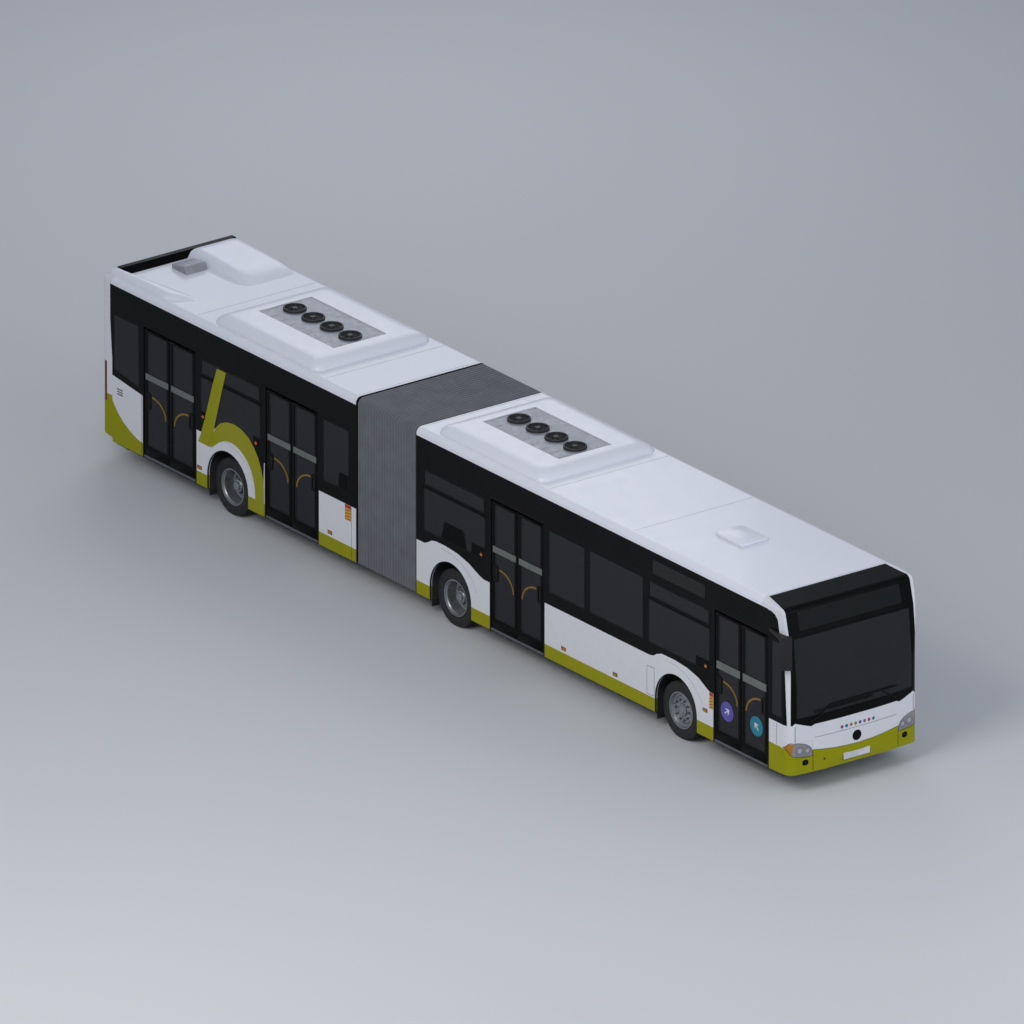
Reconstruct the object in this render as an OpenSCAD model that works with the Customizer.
// Articulated low-floor city bus: two sections on three axles, hinged at a turntable inside a bellows.
// +X is forward, +Y is the left side, Z is up from the ground. All sizes are in millimetres.

/* [Body] */
// Length from the front bumper to the rear bumper
overall_l = 18280; // [18000:10:18600]
// Width over the side walls
body_w = 2550; // [2500:10:2600]
// Height of the roof skin above the ground
roof_z = 3120; // [3080:10:3160]
// Height of the lower edge of the side skirts
skirt_z = 306; // [290:2:315]
// Height of the low floor
floor_z = 322; // [318:1:326]
// Thickness of a side wall
wall_t = 50; // [40:1:55]
// Height of the joint between the side walls and the roof
cove_z = 2990; // [2960:5:3000]

/* [Windows] */
// Height of the lower edge of the side windows
sill_z = 1430; // [1400:5:1450]
// Height of the upper edge of the side windows
head_z = 2490; // [2450:5:2500]
// Thickness of the glass
glass_t = 6; // [5:1:8]

/* [Wheels] */
// Position of the steered front axle
front_axle_x = 6130; // [6100:5:6160]
// Position of the middle axle
middle_axle_x = 232; // [200:4:260]
// Position of the driven rear axle
rear_axle_x = -5669; // [-5700:5:-5640]
// Outer radius of a tyre
tyre_r = 478; // [470:1:484]
// Width of a tyre
tyre_w = 275; // [265:1:280]
// Distance from the middle of the bus to the outer face of a tyre
tyre_face_y = 1190; // [1180:1:1200]
// Distance from the middle of the bus to a king pin
king_pin_y = 930; // [920:1:940]

/* [Articulation] */
// Position of the turntable's pivot
pivot_x = -1450; // [-1470:2:-1430]
// Rear end of the front section
front_cut_x = -660; // [-670:1:-650]
// Front end of the rear section
rear_cut_x = -2260; // [-2270:1:-2250]
// Radius of the turntable's floor plate
turntable_r = 740; // [720:1:745]

/* [Doors] */
// Width of a door opening, which two leaves fill
door_w = 1440; // [1430:1:1450]
// Height of the head of a door opening
door_head_z = 2540; // [2530:1:2545]
// Height of the lower edge of a leaf
leaf_foot_z = 360; // [358:1:364]
// Height of the upper edge of a leaf
leaf_top_z = 2500; // [2490:1:2500]
// Thickness of a leaf
leaf_t = 40; // [36:1:42]

/* [Hidden] */

half_l = overall_l / 2;
half_w = body_w / 2;
inner_y = half_w - wall_t;
slab_t = 60;
slab_z = floor_z - slab_t;
big = 6000;

// Rear edge of each door opening, from the front of the bus to its back
door_x = [7103, 1266, -4683, -7937];

// Where the moulded front end and rear end take over from the side walls
nose_x = door_x[0] + door_w - 33;
tail_x = -8750;

// Round ends in plan: the radius of the broad face and of the corners
nose_r = 9500;
nose_corner_r = 170;
tail_r = 6250;
tail_corner_r = 110;

// Windows: rear edge, front edge, lower edge, upper edge
right_front_windows = [[5410, 7010], [3871, 5283], [2809, 3757], [-477, 1150]];
left_front_windows = [[5410, 7010], [3933, 5283], [2463, 3813], [993, 2343], [-477, 873]];
right_rear_windows = [[-3134, -2443], [-6391, -4790]];
left_rear_windows = [[-3134, -2443], [-4790, -3254], [-6391, -4910], [-7880, -6511]];
tail_window = [-8694, -8043];
driver_window = [7290, 8420];
driver_sill_z = 1290;

// Wheel housings: half length, top, inner face for single and twin wheels
arch_half_l = 548;
arch_top_z = 1100;
housing_half_l = 565;
housing_t = 20;
single_inner_y = 545;
twin_inner_y = 560;

// Tyres and rims
single_y = tyre_face_y - tyre_w / 2;
twin_gap = 40;
inner_twin_y = single_y - tyre_w - twin_gap;
bead_r = 287;
bead_w = 206;
rim_r = bead_r - 2;
flange_r = 304;
hub_bore_r = 62;
spindle_r = 55;

// Door mechanism: a turning column behind each jamb carries its leaf by the middle, on arms above and below.
// The leaf lies within the reach of the column about that pivot, so that column and leaf pass each other.
jamb_strip = 33;
column_in = 9;
column_y = -(half_w - 80);
column_r = 20;
arm_l = 370;
leaf_near = 44;
leaf_gap = 12;
leaf_w = door_w / 2 - leaf_near - leaf_gap / 2;
leaf_skin_y = -(half_w - 5);
leaf_stile = 82;
leaf_foot_rail = 170;
leaf_top_rail = 40;
arm_t = 18;
lower_arm_z = floor_z + 12;
upper_arm_z = leaf_top_z + 8;
pin_r = 10;
pin_gap = 0.3;
bracket_h = 36;
bracket_half_w = 30;

// Inner ceiling, and the rounding of the roof's long edges
ceiling_z = 2800;
roof_corner_r = 100;

// Places of the seats: position, distance from the middle, height of the platform, and 1 for a pedestal
seat_w = 430;
cushion_z = 330;
front_seat_spots = [
    for (x = [3150, 3900, 4650]) for (y = [-990, -540, 990, 540]) [x, y, floor_z + 200, 1],
    for (x = [1500, 2300]) for (y = [990, 540]) [x, y, floor_z + 200, 1],
    for (x = [-30, 560]) for (y = [-960, 960]) [x, y, arch_top_z + housing_t - cushion_z, 0]];
rear_seat_spots = [
    for (y = [-990, -540]) [-2850, y, floor_z + 200, 1],
    for (x = [-2850, -3650, -4450]) for (y = [990, 540]) [x, y, floor_z + 200, 1],
    for (x = [-5950, -5350]) for (y = [-960, 960]) [x, y, arch_top_z + housing_t - cushion_z, 0],
    for (x = [-6800, -7550]) for (y = [990, 540]) [x, y, floor_z + 200, 1],
    for (y = [-960, -480, 0, 480, 960]) [-8420, y, 860, 1]];
driver_seat_spot = [7560, 700, floor_z + 240, 1];

// Colours
white = [0.75, 0.75, 0.8];
black = [0.03, 0.03, 0.03];
glass = [0.15, 0.16, 0.17];
steel = [0.5, 0.52, 0.55];
frame_grey = [0.2, 0.2, 0.22];
rubber = [0.08, 0.08, 0.09];
seat_blue = [0.2, 0.25, 0.45];
rail_yellow = [0.75, 0.6, 0.1];

// ---- Helpers ----

// A box from its lowest to its highest corner
module block(lo, hi) {
    translate(lo) cube(hi - lo);
}

// A cylinder along Y between two distances
module y_cylinder(r, y0, y1) {
    translate([0, min(y0, y1), 0]) rotate([-90, 0, 0]) cylinder(r = r, h = abs(y1 - y0), $fn = 64);
}

// A side-view outline turned upright and given its width from y0 to y1
module side_plate(y0, y1) {
    translate([0, y1, 0]) rotate([90, 0, 0]) linear_extrude(y1 - y0) children();
}

// A cross-section drawn as y and z, drawn out along X from x0 to x1
module along_x(x0, x1) {
    translate([x0, 0, 0]) rotate([90, 0, 90]) linear_extrude(x1 - x0) children();
}

// Points of an arc from angle a0 to a1
function arc(c, r, a0, a1, n) = [for (i = [0:n]) [c[0] + r * cos(a0 + (a1 - a0) * i / n),
    c[1] + r * sin(a0 + (a1 - a0) * i / n)]];

// A straight tube between two points
module tube(a, b, r) {
    d = b - a;
    l = norm(d);
    translate(a) rotate([0, acos(d[2] / l), atan2(d[1], d[0])]) cylinder(r = r, h = l, $fn = 24);
}

// Plan of a rounded end, with its broad face at x = half_l, brought in by i
module end_plan(broad_r, corner_r, i, x0) {
    cy = half_w - corner_r;
    cx = half_l - broad_r + sqrt(pow(broad_r - corner_r, 2) - cy * cy);
    a = asin(cy / (broad_r - corner_r));
    intersection() {
        translate([half_l - broad_r, 0]) circle(broad_r - i, $fn = 720);
        polygon([[half_l - broad_r, 0], [half_l + 100, -(broad_r + 100) * tan(a)],
            [half_l + 100, (broad_r + 100) * tan(a)]]);
        translate([x0, -half_w]) square([big, body_w]);
    }
    for (s = [-1, 1]) translate([cx, s * cy]) circle(corner_r - i, $fn = 96);
    translate([x0, -half_w + i]) square([cx - x0, body_w - 2 * i]);
}

// Outline of the body's cross-section, brought in by i: square below and rounded at the roof
module body_section(i) {
    polygon(concat([[-half_w + i, 0], [half_w - i, 0]],
        arc([half_w - roof_corner_r, roof_z - roof_corner_r], roof_corner_r - i, 0, 90, 8),
        arc([-half_w + roof_corner_r, roof_z - roof_corner_r], roof_corner_r - i, 90, 180, 8)));
}

// ---- Side walls ----

// Window, door and wheel openings are cut from one flat panel
module wall_openings(windows, doors, axles) {
    for (w = windows) translate([w[0], sill_z]) square([w[1] - w[0], head_z - sill_z]);
    for (x = doors) translate([x + jamb_strip, 0]) square([door_w - 2 * jamb_strip, door_head_z]);
    for (x = axles) arch_outline(x);
}

// Wheel arch: upright sides under a round top
module arch_outline(x) {
    polygon(concat([[x - arch_half_l, 0]], arc([x, arch_top_z - arch_half_l], arch_half_l, 180, 0, 24),
        [[x + arch_half_l, 0]]));
}

// One wall, on the left (s = 1) or right (s = -1), with its openings as children
module side_wall(s, x0, x1) {
    y0 = s > 0 ? inner_y : -half_w;
    side_plate(y0, y0 + wall_t) difference() {
        translate([x0, skirt_z]) square([x1 - x0, cove_z - skirt_z]);
        children();
    }
}

module front_left_side() {
    color(white) side_wall(1, front_cut_x, nose_x) {
        wall_openings(left_front_windows, [], [front_axle_x, middle_axle_x]);
        translate([driver_window[0], driver_sill_z])
            square([driver_window[1] - driver_window[0], head_z - driver_sill_z]);
    }
}

module front_right_side() {
    color(white) side_wall(-1, front_cut_x, nose_x)
        wall_openings(right_front_windows, [door_x[0], door_x[1]], [front_axle_x, middle_axle_x]);
}

module rear_left_side() {
    color(white) side_wall(1, tail_x, rear_cut_x) wall_openings(left_rear_windows, [], [rear_axle_x]);
}

module rear_right_side() {
    color(white) side_wall(-1, tail_x, rear_cut_x) {
        wall_openings(right_rear_windows, [door_x[2], door_x[3]], [rear_axle_x]);
        polygon([[tail_window[0], 1560], [tail_window[1], 1450], [tail_window[1], head_z],
            [tail_window[0], head_z]]);
    }
}

// ---- Roofs ----

// Roof with its rounded edges outside and its ceiling and air ducts inside
duct_z = 2600;
duct_y = 900;
module roof_section() {
    polygon(concat([[-half_w, cove_z], [-inner_y, cove_z], [-inner_y, duct_z], [-duct_y, duct_z],
            [-duct_y + 120, ceiling_z], [duct_y - 120, ceiling_z], [duct_y, duct_z], [inner_y, duct_z],
            [inner_y, cove_z], [half_w, cove_z]],
        arc([half_w - roof_corner_r, roof_z - roof_corner_r], roof_corner_r, 0, 90, 8),
        arc([-half_w + roof_corner_r, roof_z - roof_corner_r], roof_corner_r, 90, 180, 8)));
}

hatch_x = 6150;
module front_roof() {
    color(white) {
        along_x(front_cut_x, dome_x) roof_section();
        block([hatch_x - 340, -250, roof_z], [hatch_x + 340, 250, roof_z + 50]);
    }
}

// The rear roof carries a broad raised fairing on the left, a narrow one on the right and an intake between;
// a black lip joins the fairings across the tail
module fairing_outline(rear_x, front_x, h) {
    polygon(concat([[rear_x, roof_z], [rear_x, roof_z + h - 40], [rear_x + 100, roof_z + h],
        [front_x - 400, roof_z + h - 40]],
        arc([front_x - 180, roof_z - 20], h - 20, 90, asin(21 / (h - 20)), 6), [[front_x - 30, roof_z]]));
}

module rear_roof() {
    color(white) along_x(tail_x, rear_cut_x) roof_section();
}

module rear_fairings() {
    y0 = 170;
    y1 = half_w - 70;
    color(white) {
        intersection() {
            side_plate(y0, y1) fairing_outline(-8680, -7060, 170);
            along_x(-8690, -7060) polygon([[y0, roof_z], [y1, roof_z], [y1 - 60, roof_z + 140],
                [y1 - 110, big], [y0 + 110, big], [y0 + 60, roof_z + 140]]);
        }
        side_plate(-y1, -1000) fairing_outline(-8870, -7000, 100);
    }
    color(frame_grey) side_plate(-994, half_w - 85) polygon([[-8690, roof_z], [-8765, roof_z + 97],
        [-8865, roof_z + 97], [-8878, roof_z]]);
    color(steel) side_plate(-290, 130) polygon([[-8490, roof_z], [-8490, roof_z + 70],
        [-8155, roof_z + 120], [-8070, roof_z]]);
}

// Air-conditioning unit: a low rounded cover, with a recessed plate and a row of fans
unit_half_l = 1385;
unit_half_w = 1150;
unit_h = 150;
unit_edge = 290;
plate_half_l = 1005;
plate_half_w = 522;
fan_r = 190;
function cover_edge(half) = concat(
    [for (a = [0:10:90]) [half - unit_edge + unit_edge * cos(a), unit_h * sin(a)]],
    [for (a = [90:-10:0]) [-half + unit_edge - unit_edge * cos(a), unit_h * sin(a)]]);
module roof_unit(x) {
    translate([x, 0, roof_z]) {
        color(white) difference() {
            intersection() {
                side_plate(-unit_half_w, unit_half_w) polygon(cover_edge(unit_half_l));
                along_x(-unit_half_l, unit_half_l) polygon(cover_edge(unit_half_w));
            }
            block([-plate_half_l, -plate_half_w, unit_h - 20], [plate_half_l, plate_half_w, big]);
        }
        color(frame_grey) for (i = [-1.5:1:1.5]) translate([i * 490, 0, unit_h - 20])
            cylinder(r = fan_r, h = 50, $fn = 64);
    }
}

front_unit_x = 1070;
rear_unit_x = -4855;
module front_roof_unit() { roof_unit(front_unit_x); }
module rear_roof_unit() { roof_unit(rear_unit_x); }

// ---- Front end ----

// Side view of the nose: upright bumper, leaning windscreen and a domed head
dome_x = 8350;
screen_foot = [9135, 1150];
screen_head = [8985, 2620];
module nose_profile(i) {
    polygon(concat([[nose_x - 10, skirt_z + 12], [half_l - 20 - i, skirt_z + 24], [half_l - i, 520],
        [half_l - i, 900], [screen_foot[0] - i, screen_foot[1]], [screen_head[0] - i, screen_head[1]]],
        arc([8790 , 2960], 110 - i, 8, 82, 8),
        [[dome_x, roof_z - i], [nose_x - big, roof_z - i], [nose_x - big, skirt_z + 12]]));
}

module nose_solid(i) {
    intersection() {
        linear_extrude(big) end_plan(nose_r, nose_corner_r, i, dome_x);
        side_plate(-half_w, half_w) nose_profile(i);
        along_x(dome_x, half_l + 10) body_section(i);
    }
}

// Windscreen opening, seen from in front, and the small windows at each corner
screen_half_w = 1130;
screen_sill_z = 1270;
screen_top_z = 2580;
module screen_opening() {
    block([8800, -screen_half_w, screen_sill_z], [half_l + 100, screen_half_w, screen_top_z]);
}
quarter_x = [8620, 8860];
quarter_z = [1260, 2500];
module quarter_opening(s, i) {
    block([quarter_x[0] + i, s > 0 ? inner_y - 100 : -half_w - 10, quarter_z[0] + i],
        [quarter_x[1] - i, s > 0 ? half_w + 10 : -inner_y + 100, quarter_z[1] - i]);
}

lamp_z = [600, 860];
lamp_in_y = 835;
module front_end() {
    color(white) difference() {
        union() {
            difference() {
                nose_solid(0);
                difference() {
                    nose_solid(wall_t);
                    block([nose_x - 500, -half_w, 0], [half_l, half_w, skirt_z + 60]);
                }
            }
            tow_boss();
        }
        // Below the roof line the nose starts at the front door's jamb
        block([dome_x - 1, -half_w - 1, 0], [nose_x, half_w + 1, cove_z]);
        block([dome_x - 1, -inner_y, floor_z - slab_t - 60], [nose_x + 5, inner_y, cove_z]);
        screen_opening();
        for (s = [-1, 1]) quarter_opening(s, 0);
        headlamp_space(0);
        tow_socket();
        // Space for the floor
        block([dome_x, -inner_y, 0], [8860, inner_y, skirt_z + 61]);
    }
}

// Tow socket behind the front bumper on the right, and behind the rear one on the left
tow_y = 620;
tow_front_z = 500;
tow_rear_z = 560;
tow_r = 20;
tow_boss_r = 45;
tow_l = 130;
tow_recess = 10;
module tow_boss() {
    translate([half_l - 20 - tow_l, -tow_y, tow_front_z]) rotate([0, 90, 0])
        cylinder(r = tow_boss_r, h = tow_l - tow_recess, $fn = 64);
}
module tow_socket() {
    translate([half_l - 30 - tow_l, -tow_y, tow_front_z]) rotate([0, 90, 0])
        cylinder(r = tow_r, h = 220, $fn = 48);
}

// Headlamps wrap round the front corners
module headlamp_space(i) {
    for (s = [-1, 1]) intersection() {
        linear_extrude(big) difference() {
            square([big * 4, big * 4], center = true);
            end_plan(nose_r, nose_corner_r, 60 - i, dome_x);
        }
        side_plate(-half_w, half_w) translate([8905 + i, lamp_z[0] + i])
            square([500, lamp_z[1] - lamp_z[0] - 2 * i]);
        block([dome_x, s > 0 ? lamp_in_y + i : -half_w, 0], [big * 2, s > 0 ? half_w : -lamp_in_y - i, big]);
    }
}

module headlamps() {
    color(steel) intersection() {
        headlamp_space(3);
        nose_solid(1);
    }
}

module windscreen() {
    color(glass) intersection() {
        difference() {
            nose_solid(4);
            nose_solid(4 + glass_t);
        }
        block([8700, -screen_half_w + 3, screen_sill_z + 3],
            [half_l + 100, screen_half_w - 3, screen_top_z - 3]);
    }
}

// ---- Side windows ----

module pane(s, x0, x1, z0, z1) {
    block([x0 + 2, s > 0 ? half_w - 2 - glass_t : -half_w + 2, z0 + 2],
        [x1 - 2, s > 0 ? half_w - 2 : -half_w + 2 + glass_t, z1 - 2]);
}

module front_side_windows() {
    color(glass) {
        for (w = right_front_windows) pane(-1, w[0], w[1], sill_z, head_z);
        for (w = left_front_windows) pane(1, w[0], w[1], sill_z, head_z);
        pane(1, driver_window[0], driver_window[1], driver_sill_z, head_z);
        for (s = [-1, 1]) pane(s, quarter_x[0], quarter_x[1], quarter_z[0], quarter_z[1]);
    }
}

tail_glass = [1620, 2560];
module rear_windows() {
    color(glass) {
        for (w = right_rear_windows) pane(-1, w[0], w[1], sill_z, head_z);
        for (w = left_rear_windows) pane(1, w[0], w[1], sill_z, head_z);
        side_plate(-half_w + 2, -half_w + 2 + glass_t) polygon([[tail_window[0] + 2, 1563],
            [tail_window[1] - 2, 1453], [tail_window[1] - 2, head_z - 2], [tail_window[0] + 2, head_z - 2]]);
        intersection() {
            difference() {
                tail_solid(4);
                tail_solid(4 + glass_t);
            }
            block([-big * 2, -997, tail_glass[0] + 3], [tail_x, 997, tail_glass[1] - 3]);
        }
    }
}

// ---- Rear end ----

// Side view of the tail, brought in by i and open below where its lower edge is dropped
module tail_profile(i, drop) {
    polygon([[-tail_x - 10, skirt_z + 60 - drop], [half_l - 50 - i, skirt_z + 120 - drop], [half_l - i, 700],
        [half_l - i, 1500], [half_l - 70 - i, 2900], [half_l - 150 - i, roof_z - 30 - i],
        [half_l - 260 - i, roof_z - i], [-tail_x - 10, roof_z - i]]);
}

module tail_solid(i, drop = 0) {
    mirror([1, 0, 0]) intersection() {
        linear_extrude(big) end_plan(tail_r, tail_corner_r, i, -tail_x);
        side_plate(-half_w, half_w) tail_profile(i, drop);
        along_x(-tail_x, half_l + 10) body_section(i);
    }
}

lamp_zone_z = [960, 1640];
module tail_lamp_space(i) {
    for (s = [-1, 1]) intersection() {
        mirror([1, 0, 0]) linear_extrude(big) difference() {
            square([big * 4, big * 4], center = true);
            end_plan(tail_r, tail_corner_r, 40 - i, dome_x);
        }
        block([-big * 2, s > 0 ? 1040 + i : -half_w, lamp_zone_z[0] + i],
            [-8890 - i, s > 0 ? half_w : -1040 - i, lamp_zone_z[1] - i]);
    }
}

module rear_end() {
    color(white) difference() {
        union() {
            difference() {
                tail_solid(0);
                intersection() {
                    tail_solid(wall_t, 100);
                    block([-big * 2, -big, 0], [tail_x + 1, big, roof_z - wall_t]);
                }
            }
            translate([-half_l + 40, tow_y, tow_rear_z]) rotate([0, 90, 0])
                cylinder(r = tow_boss_r, h = tow_l - tow_recess - 1, $fn = 64);
        }
        block([-big * 2, -1000, tail_glass[0]], [tail_x, 1000, tail_glass[1]]);
        block([tail_x - 50, -inner_y, 0], [tail_x + 50, inner_y, roof_z - 60]);
        tail_lamp_space(0);
        translate([-half_l - 60, tow_y, tow_rear_z]) rotate([0, 90, 0])
            cylinder(r = tow_r, h = tow_l + 110, $fn = 48);
    }
}

module tail_lamps() {
    color([0.45, 0.1, 0.06]) intersection() {
        tail_lamp_space(3);
        tail_solid(1);
    }
}

// ---- Underframes ----

// Space in the floor for a wheel housing on each side, a sealing gap larger than it all round
seal_gap = 1;
module housing_cut(x, inner) {
    half = housing_half_l + housing_t + seal_gap;
    for (s = [-1, 1]) block([x - half, s > 0 ? inner - housing_t - seal_gap : -inner_y - 1, -1],
        [x + half, s > 0 ? inner_y + 1 : -inner + housing_t + seal_gap, arch_top_z]);
}

// A wheel housing's inner wall, ends and top
module housing(x, inner) {
    for (s = [-1, 1]) difference() {
        block([x - housing_half_l - housing_t, s > 0 ? inner - housing_t : -inner_y, slab_z],
            [x + housing_half_l + housing_t, s > 0 ? inner_y : -inner + housing_t, arch_top_z + housing_t]);
        block([x - housing_half_l, s > 0 ? inner : -inner_y - 1, 0],
            [x + housing_half_l, s > 0 ? inner_y + 1 : -inner, arch_top_z]);
    }
}

// Two rails and cross members under the floor
rail_y = 430;
rail_z = 190;
module ladder(x0, x1, crosses) {
    for (s = [-1, 1]) block([x0, s * rail_y - 30, rail_z], [x1, s * rail_y + 30, slab_z + 1]);
    for (x = crosses) block([x - 30, -inner_y + 60, rail_z + 20], [x + 30, inner_y - 60, slab_z + 1]);
}

module front_underframe() {
    color(frame_grey) {
        difference() {
            union() {
                block([front_cut_x, -inner_y, slab_z], [8850, inner_y, floor_z]);
                ladder(front_cut_x, 8700, [1300, 2700, 3600, 4500, 7200, 8600]);
                block([pivot_x + 450, -900, slab_z], [front_cut_x, 900, floor_z]);
                block([pivot_x, -260, 150], [front_cut_x + 1, 260, 190]);
                translate([pivot_x, 0, 150]) cylinder(r = 330, h = 40, $fn = 96);
                block([front_cut_x, -460, 150], [front_cut_x + 200, 460, 191]);
            }
            translate([pivot_x, 0, 200]) cylinder(r = turntable_r + 6, h = 300, $fn = 180);
            housing_cut(front_axle_x, single_inner_y);
            housing_cut(middle_axle_x, twin_inner_y);
            axle_passage(front_axle_x);
            axle_passage(middle_axle_x);
        }
        housing(front_axle_x, single_inner_y);
        housing(middle_axle_x, twin_inner_y);
        platform(3150 - 300, 4650 + 250, -1);
        platform(1500 - 300, 4650 + 250, 1);
    }
}

// Room under the floor for an axle's beam
module axle_passage(x) {
    block([x - 130, -big, 0], [x + 130, big, slab_z]);
}

// Raised floor under a row of seats, on the sealing gap
platform_y = 320;
module platform(x0, x1, s) {
    block([x0, s > 0 ? platform_y : -inner_y, floor_z + seal_gap],
        [x1, s > 0 ? inner_y : -platform_y, floor_z + 200]);
}

module rear_underframe() {
    color(frame_grey) {
        difference() {
            union() {
                block([-8700, -inner_y, slab_z], [rear_cut_x, inner_y, floor_z]);
                ladder(-8700, rear_cut_x, [-8500, -7100, -4300, -2700]);
                block([rear_cut_x, -900, slab_z], [pivot_x - 450, 900, floor_z]);
            }
            translate([pivot_x, 0, 200]) cylinder(r = turntable_r, h = 300, $fn = 180);
            housing_cut(rear_axle_x, twin_inner_y);
            axle_passage(rear_axle_x);
        }
        housing(rear_axle_x, twin_inner_y);
        platform(-3650 - 1100, -2850 + 250, 1);
        platform(-2850 - 250, -2850 + 250, -1);
        platform(-7550 - 300, -6800 + 250, 1);
        // Raised floor over the engine, with its front wall
        block([-8900, -inner_y, 800], [-8110, inner_y, 860]);
        block([-8110, -inner_y, floor_z + seal_gap], [-8080, inner_y, 860]);
    }
}

// Round floor plate that turns with the rear section, on the drum of its bearing
module turntable() {
    color(steel) {
        translate([pivot_x, 0, slab_z]) cylinder(r = turntable_r, h = slab_t, $fn = 180);
        translate([pivot_x, 0, 196]) cylinder(r = 250, h = slab_z - 195, $fn = 96);
    }
}

module engine() {
    color(steel) block([-8950, -800, 340], [-8150, 800, 790]);
}

// ---- Bellows ----

fold_count = 12;
fold_depth = 45;
module bellows() {
    color(rubber) {
        pitch = (front_cut_x - rear_cut_x) / fold_count;
        for (i = [0:fold_count - 1]) along_x(rear_cut_x + i * pitch, rear_cut_x + (i + 1) * pitch)
            bellows_ring(i % 2 == 0 ? 0 : fold_depth);
    }
}

module bellows_ring(i) {
    difference() {
        bellows_outline(5 + i);
        bellows_outline(5 + 2 * fold_depth);
    }
}

module bellows_outline(i) {
    intersection() {
        body_section(i);
        translate([-half_w, skirt_z + (i > fold_depth + 5 ? -10 : 0)]) square([body_w, big]);
    }
}

// ---- Axles and knuckles ----

// A dropped beam that passes under the floor, with upright ends inside the wheel housings at up_y
beam_z = [170, 250];
module dropped_beam(x_half, up_y, end_z) {
    block([-x_half, -up_y[1], beam_z[0]], [x_half, up_y[1], beam_z[1]]);
    for (s = [-1, 1]) block([-x_half, s > 0 ? up_y[0] : -up_y[1], beam_z[0]],
        [x_half, s > 0 ? up_y[1] : -up_y[0], end_z]);
}

// Fist of the front beam round its king pin
fist_r = 48;
fist_half_h = 70;
king_pin_r = 24;
module front_axle() {
    color(frame_grey) translate([front_axle_x, 0, 0]) difference() {
        union() {
            dropped_beam(45, [580, 640], tyre_r + 60);
            for (s = [-1, 1]) {
                block([-45, s > 0 ? 600 : -king_pin_y, tyre_r - 60],
                    [45, s > 0 ? king_pin_y : -600, tyre_r + 60]);
                translate([0, s * king_pin_y, tyre_r - fist_half_h])
                    cylinder(r = fist_r, h = 2 * fist_half_h, $fn = 64);
            }
        }
        for (s = [-1, 1]) translate([0, s * king_pin_y, 0])
            cylinder(r = king_pin_r + pin_gap, h = 1000, $fn = 64);
    }
}

// Stub shafts inside the hubs of twin wheels
upright_y = [566, 594];
module spindles() {
    for (s = [-1, 1]) translate([0, 0, tyre_r]) {
        y_cylinder(spindle_r, s * (upright_y[1] - 5), s * (tyre_face_y - 130));
        y_cylinder(190, s * (upright_y[1] - 5), s * (upright_y[1] + 120));
    }
}

module middle_axle() {
    color(frame_grey) translate([middle_axle_x, 0, 0]) {
        dropped_beam(80, upright_y, tyre_r + 80);
        spindles();
    }
}

// The rear axle has its final drive off to one side
module rear_axle() {
    color(frame_grey) translate([rear_axle_x, 0, 0]) {
        dropped_beam(80, upright_y, tyre_r + 80);
        spindles();
        translate([0, 300, 195]) rotate([90, 0, 0]) cylinder(r = 62, h = 300, center = true, $fn = 64);
    }
}

// Steering knuckle: a fork on its king pin, with the spindle that carries the wheel
module knuckle(s) {
    lug_z = fist_half_h + 5;
    lug_h = 40;
    color(steel) translate([front_axle_x, s * king_pin_y, tyre_r]) mirror([0, s > 0 ? 0 : 1, 0]) {
        cylinder(r = king_pin_r, h = 2 * (lug_z + lug_h), center = true, $fn = 64);
        for (z = [lug_z, -lug_z - lug_h]) {
            translate([0, 0, z]) cylinder(r = fist_r - 3, h = lug_h, $fn = 64);
            block([-45, 0, z], [45, 80, z + lug_h]);
        }
        block([-60, fist_r + 8, -lug_z - lug_h], [60, 80, lug_z + lug_h]);
        y_cylinder(spindle_r, 70, tyre_face_y - 60 - king_pin_y);
    }
}
module left_knuckle() { knuckle(1); }
module right_knuckle() { knuckle(-1); }

// ---- Wheels ----

// Half of a tyre's outline as radius and distance from its middle plane
tread_half = 118;
module tyre(y) {
    translate([0, y, 0]) rotate([90, 0, 0]) rotate_extrude($fn = 128) polygon([
        [bead_r, -bead_w / 2], [330, -bead_w / 2 - 18], [375, -tyre_w / 2], [430, -tyre_w / 2 + 6],
        [468, -tread_half], [tyre_r, -tread_half + 24], [tyre_r, tread_half - 24], [468, tread_half],
        [430, tyre_w / 2 - 6], [375, tyre_w / 2], [330, bead_w / 2 + 18], [bead_r, bead_w / 2]]);
}

// Rim: barrel with flanges, a wheel disc at distance disc_y, and the hub
module rim(y, disc_y) {
    half = bead_w / 2 + 20;
    rotate([90, 0, 0]) rotate_extrude($fn = 128) {
        translate([rim_r - 12, -y - half]) square([12, 2 * half]);
        for (t = [-1, 1]) translate([rim_r - 12, -y + (t > 0 ? half - 8 : -half)])
            square([flange_r - rim_r + 12, 8]);
        translate([hub_bore_r, -disc_y - 8]) square([rim_r - hub_bore_r - 6, 16]);
    }
}

module hub(y0, y1, cap_y) {
    difference() {
        union() {
            y_cylinder(135, y0, y1);
            y_cylinder(95, y1, cap_y);
        }
        y_cylinder(hub_bore_r, y0 - sign(cap_y) * 1, cap_y - sign(cap_y) * 20);
    }
}

module wheel_place(x) {
    translate([x, 0, tyre_r]) children();
}

module single_tyre(s) { color(rubber) wheel_place(front_axle_x) tyre(s * single_y); }
module single_rim(s) {
    color(steel) wheel_place(front_axle_x) {
        rim(s * single_y, s * (single_y + 60));
        hub(s * (single_y + 40), s * (single_y + 95), s * (single_y + 125));
    }
}
module twin_tyres(s, x) {
    color(rubber) wheel_place(x) {
        tyre(s * single_y);
        tyre(s * inner_twin_y);
    }
}
module twin_rims(s, x) {
    mid = (single_y + inner_twin_y) / 2;
    color(steel) wheel_place(x) {
        rim(s * single_y, s * (single_y - 105));
        rim(s * inner_twin_y, s * (inner_twin_y + 105));
        hub(s * (mid - 60), s * (mid + 150), s * (mid + 240));
    }
}

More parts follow.
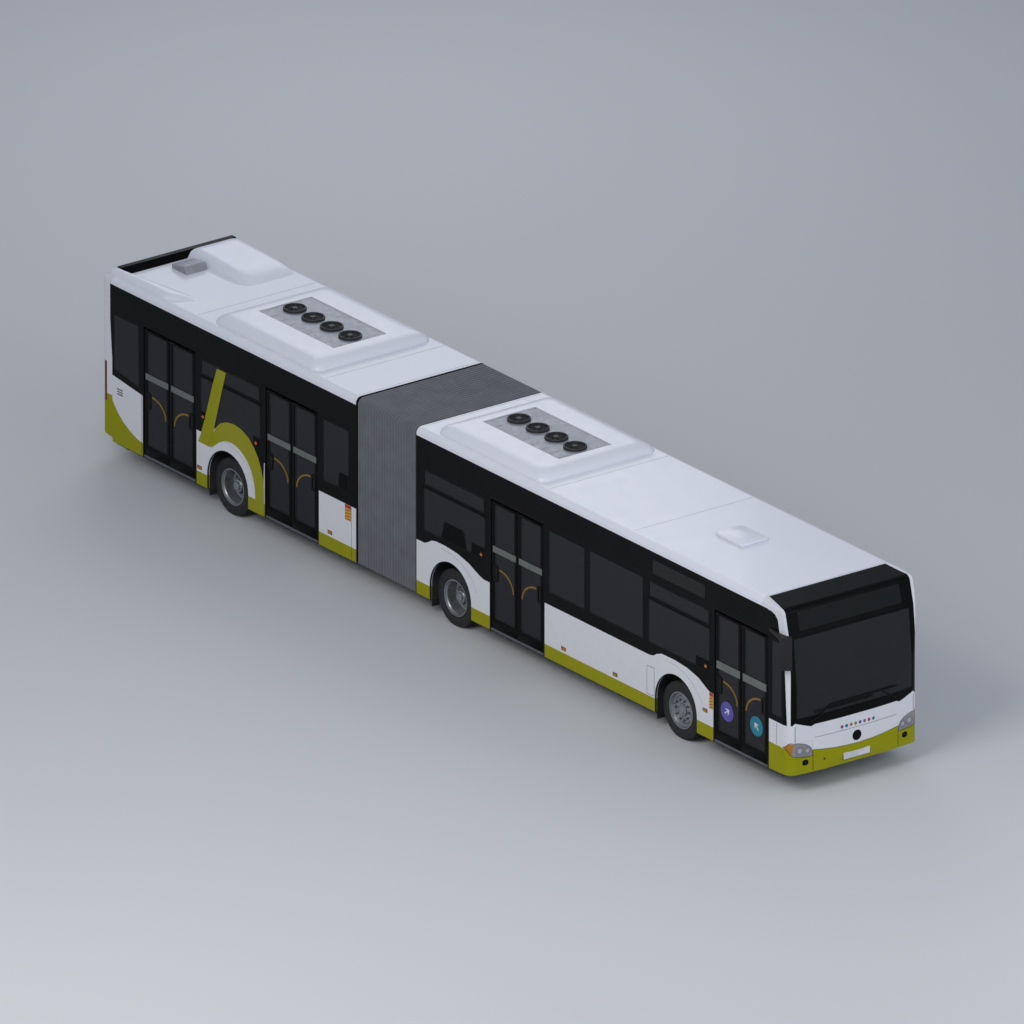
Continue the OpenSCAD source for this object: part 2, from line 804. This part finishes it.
module front_left_tyre() { single_tyre(1); }
module front_left_rim() { single_rim(1); }
module front_right_tyre() { single_tyre(-1); }
module front_right_rim() { single_rim(-1); }
module middle_left_tyres() { twin_tyres(1, middle_axle_x); }
module middle_left_rims() { twin_rims(1, middle_axle_x); }
module middle_right_tyres() { twin_tyres(-1, middle_axle_x); }
module middle_right_rims() { twin_rims(-1, middle_axle_x); }
module rear_left_tyres() { twin_tyres(1, rear_axle_x); }
module rear_left_rims() { twin_rims(1, rear_axle_x); }
module rear_right_tyres() { twin_tyres(-1, rear_axle_x); }
module rear_right_rims() { twin_rims(-1, rear_axle_x); }

// ---- Doors ----

// A leaf is drawn as the rear one, from its jamb forward, and mirrored about the door for the front one
module in_door(x, front) {
    if (front) translate([2 * x + door_w, 0, 0]) mirror([1, 0, 0]) children();
    else children();
}

module leaf(x, front) {
    x0 = x + leaf_near;
    x1 = x0 + leaf_w;
    pivot = x + column_in + arm_l;
    glass_lo = [x0 + leaf_stile, leaf_foot_z + leaf_foot_rail];
    glass_hi = [x1 - leaf_stile, leaf_top_z - leaf_top_rail];
    in_door(x, front) {
        color(black) {
            difference() {
                block([x0, leaf_skin_y, leaf_foot_z], [x1, leaf_skin_y + leaf_t, leaf_top_z]);
                block([glass_lo[0], -half_w - 1, glass_lo[1]], [glass_hi[0], 0, glass_hi[1]]);
            }
            for (z = [leaf_foot_z, leaf_top_z - bracket_h])
                block([pivot - bracket_half_w, leaf_skin_y + leaf_t - 1, z],
                    [pivot + bracket_half_w, column_y + 22, z + bracket_h]);
            translate([pivot, column_y, leaf_top_z - 1]) cylinder(r = pin_r, h = 26, $fn = 48);
            translate([pivot, column_y, leaf_foot_z - 22]) cylinder(r = pin_r, h = 23, $fn = 48);
        }
        color(glass) block([glass_lo[0], leaf_skin_y + 8, glass_lo[1]],
            [glass_hi[0], leaf_skin_y + 14, glass_hi[1]]);
    }
}

module column(x, front) {
    c = x + column_in;
    in_door(x, front) color(steel) difference() {
        union() {
            translate([c, column_y, floor_z + 6])
                cylinder(r = column_r, h = door_head_z - floor_z - 18, $fn = 48);
            for (z = [lower_arm_z, upper_arm_z]) {
                block([c, column_y - 16, z], [c + arm_l, column_y + 16, z + arm_t]);
                translate([c + arm_l, column_y, z]) cylinder(r = 20, h = arm_t, $fn = 48);
            }
        }
        for (z = [lower_arm_z, upper_arm_z]) translate([c + arm_l, column_y, z - 1])
            cylinder(r = pin_r + pin_gap, h = arm_t + 2, $fn = 48);
    }
}

module door_1_rear_leaf() { leaf(door_x[0], false); }
module door_1_front_leaf() { leaf(door_x[0], true); }
module door_1_rear_column() { column(door_x[0], false); }
module door_1_front_column() { column(door_x[0], true); }
module door_2_rear_leaf() { leaf(door_x[1], false); }
module door_2_front_leaf() { leaf(door_x[1], true); }
module door_2_rear_column() { column(door_x[1], false); }
module door_2_front_column() { column(door_x[1], true); }
module door_3_rear_leaf() { leaf(door_x[2], false); }
module door_3_front_leaf() { leaf(door_x[2], true); }
module door_3_rear_column() { column(door_x[2], false); }
module door_3_front_column() { column(door_x[2], true); }
module door_4_rear_leaf() { leaf(door_x[3], false); }
module door_4_front_leaf() { leaf(door_x[3], true); }
module door_4_rear_column() { column(door_x[3], false); }
module door_4_front_column() { column(door_x[3], true); }

// ---- Inside ----

// Passenger seat facing forward: cushion and back, on a pedestal or straight on a wheel housing
module seat(x, y, z, pedestal) {
    translate([x, y, z]) {
        if (pedestal == 1) block([-120, -60, 0], [80, 60, cushion_z + 10]);
        block([-210, -seat_w / 2 + 5, cushion_z], [210, seat_w / 2 - 5, cushion_z + 90]);
        side_plate(-seat_w / 2 + 5, seat_w / 2 - 5) polygon([[-210, 330], [-150, 400], [-250, 1020],
            [-290, 1010], [-280, 900]]);
    }
}

module front_seats() {
    color(seat_blue) {
        for (s = concat(front_seat_spots, [driver_seat_spot])) seat(s[0], s[1], s[2], s[3]);
    }
}

module rear_seats() {
    color(seat_blue) for (s = rear_seat_spots) seat(s[0], s[1], s[2], s[3]);
}

// Overhead rails along both sides of the aisle, on posts from the floor
post_r = 16;
rail_top_z = 2250;
module handrails(x0, x1, y, posts) {
    for (s = [-1, 1]) tube([x0, s * y, rail_top_z], [x1, s * y, rail_top_z], post_r);
    for (p = posts)
        tube([p[0], p[1], p[2]], [p[0], p[1], ceiling_z - (abs(p[1]) > duct_y ? 200 : 1)], post_r);
}

module front_handrails() {
    color(rail_yellow) handrails(-500, 6900, 330, [[-400, -330, floor_z + 1], [-400, 330, floor_z + 1],
        [900, -330, floor_z + 1], [900, 330, floor_z + 1], [1900, 330, floor_z + 201],
        [2780, -330, floor_z + 1],
        [4300, -330, floor_z + 201], [4300, 330, floor_z + 201], [5400, -330, floor_z + 1],
        [5400, 330, floor_z + 1], [6850, -330, floor_z + 1], [6850, 330, floor_z + 1]]);
}

module rear_handrails() {
    color(rail_yellow) handrails(-7900, -2350, 330, [[-2400, -330, floor_z + 1], [-2400, 330, floor_z + 1],
        [-3170, -330, floor_z + 1], [-4090, 330, floor_z + 201], [-4800, -330, floor_z + 1],
        [-6400, -330, floor_z + 1], [-6300, 330, floor_z + 1], [-7870, 330, floor_z + 1]]);
}

// Driver's place at the front left: dashboard, steering wheel and the partition behind
module driver_cab() {
    color(frame_grey) {
        block([8060, 330, floor_z + 240], [8500, inner_y - 10, 1120]);
        block([7300, 300, floor_z], [8500, inner_y - 5, floor_z + 239]);
        translate([8030, 700, 1180]) rotate([0, -20, 0]) {
            rotate_extrude($fn = 96) translate([225, 0]) circle(14, $fn = 24);
            cylinder(r = 60, h = 30, $fn = 48);
            for (a = [90, 210, 330]) rotate([0, 0, a]) block([50, -15, 0], [222, 15, 14]);
            translate([0, 0, -120]) cylinder(r = 40, h = 130, $fn = 48);
        }
        block([7230, 300, floor_z], [7270, inner_y - 5, 2050]);
    }
}

// ---- Mirrors ----

// One housing, turned towards its side, under the broad arm that comes from the wall
module mirror_unit(spot, turn, size, z, arm_h, arm) {
    translate([spot[0], spot[1], z[0]]) rotate([0, 0, turn])
        block([-size[0] / 2, -size[1] / 2, 0], [size[0] / 2, size[1] / 2, z[1] - z[0] + 1]);
    translate([0, 0, z[1]]) linear_extrude(arm_h) polygon(arm);
}

module mirrors() {
    color(frame_grey) {
        mirror([0, 1, 0]) mirror_unit([9044, 1328], 37, [90, 196], [2140, 2631], 60,
            [[8540, half_w], [8700, half_w], [8860, half_w + 15], [8990, half_w + 5], [9067, 1228], [9138, 1278],
                [9021, 1433], [8950, 1395], [8760, 1335], [8560, half_w + 10]]);
        mirror_unit([8732, 1357], 15, [80, 136], [2094, 2537], 50,
            [[8560, half_w], [8720, half_w], [8787, 1302], [8752, 1432], [8676, 1411], [8570, half_w + 12]]);
    }
}

front_underframe();
front_left_side();
front_right_side();
front_roof();
front_end();
windscreen();
front_side_windows();
front_roof_unit();
headlamps();
mirrors();
driver_cab();
front_seats();
front_handrails();
front_axle();
middle_axle();
left_knuckle();
right_knuckle();
rear_underframe();
turntable();
rear_left_side();
rear_right_side();
rear_roof();
rear_end();
rear_windows();
rear_roof_unit();
rear_fairings();
engine();
rear_axle();
rear_seats();
rear_handrails();
tail_lamps();
bellows();
front_left_tyre();
front_left_rim();
front_right_tyre();
front_right_rim();
middle_left_tyres();
middle_left_rims();
middle_right_tyres();
middle_right_rims();
rear_left_tyres();
rear_left_rims();
rear_right_tyres();
rear_right_rims();
door_1_rear_leaf();
door_1_front_leaf();
door_1_rear_column();
door_1_front_column();
door_2_rear_leaf();
door_2_front_leaf();
door_2_rear_column();
door_2_front_column();
door_3_rear_leaf();
door_3_front_leaf();
door_3_rear_column();
door_3_front_column();
door_4_rear_leaf();
door_4_front_leaf();
door_4_rear_column();
door_4_front_column();
